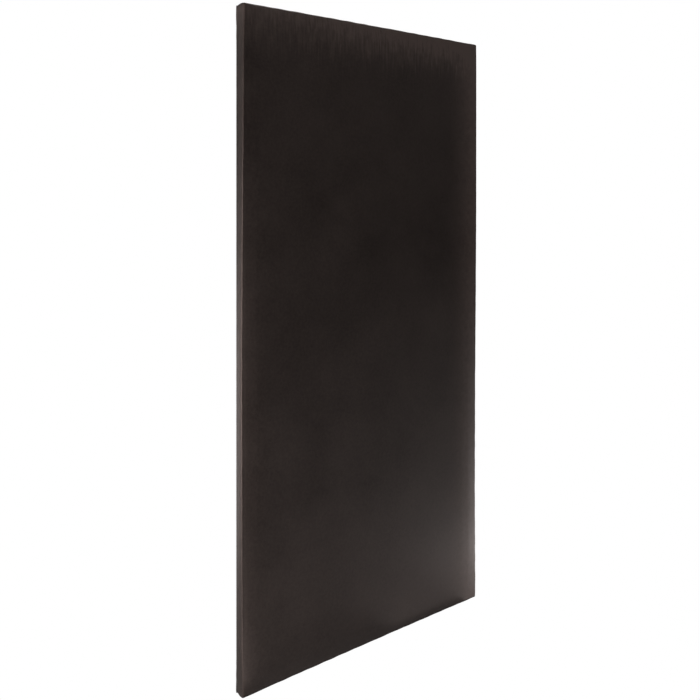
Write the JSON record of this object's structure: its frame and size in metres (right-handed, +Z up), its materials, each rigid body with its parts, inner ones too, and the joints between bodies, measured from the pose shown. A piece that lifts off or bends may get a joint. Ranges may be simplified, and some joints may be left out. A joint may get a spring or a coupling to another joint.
{
  "type": "wall punch pad",
  "caption": "Tall flat striking pad for a wall: vinyl cover over layered foam on a plywood board, hung on interlocking aluminium Z rails and lifted off them",
  "frame": {"origin": "centre of the middle wall rail's back face, on the wall plane, which is also the middle of the pad's width and height", "axes": "+Z up along the pad's height, -Y out of the wall towards the person striking, +X to the right seen from the front"},
  "size_m": [1, 0.048, 2],
  "materials": {
    "cover_vinyl": "satin",
    "soft_foam": "matte",
    "firm_foam": "matte",
    "plywood": "matte",
    "rail_aluminium": "satin",
    "screw_zinc": "satin",
    "nut_zinc": "satin"
  },
  "bodies": {
    "wall_rails": {"wall_rail_bottom": "rail_aluminium", "wall_rail_middle": "rail_aluminium", "wall_rail_top": "rail_aluminium"},
    "pad": {"cover": "cover_vinyl", "face_foam": "soft_foam", "core_foam": "firm_foam", "backer_board": "plywood", "panel_cleat_bottom": "rail_aluminium", "panel_cleat_middle": "rail_aluminium", "panel_cleat_top": "rail_aluminium", "cleat_screw_bottom_a": "screw_zinc", "cleat_screw_bottom_b": "screw_zinc", "cleat_screw_bottom_c": "screw_zinc", "cleat_screw_bottom_d": "screw_zinc", "cleat_screw_middle_a": "screw_zinc", "cleat_screw_middle_b": "screw_zinc", "cleat_screw_middle_c": "screw_zinc", "cleat_screw_middle_d": "screw_zinc", "cleat_screw_top_a": "screw_zinc", "cleat_screw_top_b": "screw_zinc", "cleat_screw_top_c": "screw_zinc", "cleat_screw_top_d": "screw_zinc", "tee_nut_bottom_a": "nut_zinc", "tee_nut_bottom_b": "nut_zinc", "tee_nut_bottom_c": "nut_zinc", "tee_nut_bottom_d": "nut_zinc", "tee_nut_middle_a": "nut_zinc", "tee_nut_middle_b": "nut_zinc", "tee_nut_middle_c": "nut_zinc", "tee_nut_middle_d": "nut_zinc", "tee_nut_top_a": "nut_zinc", "tee_nut_top_b": "nut_zinc", "tee_nut_top_c": "nut_zinc", "tee_nut_top_d": "nut_zinc"}
  },
  "joints": [
    {"name": "pad_lift", "type": "slide", "parent": "wall_rails", "child": "pad", "axis": [0, 0, 1], "range_m": [0, 0.016]}
  ]
}
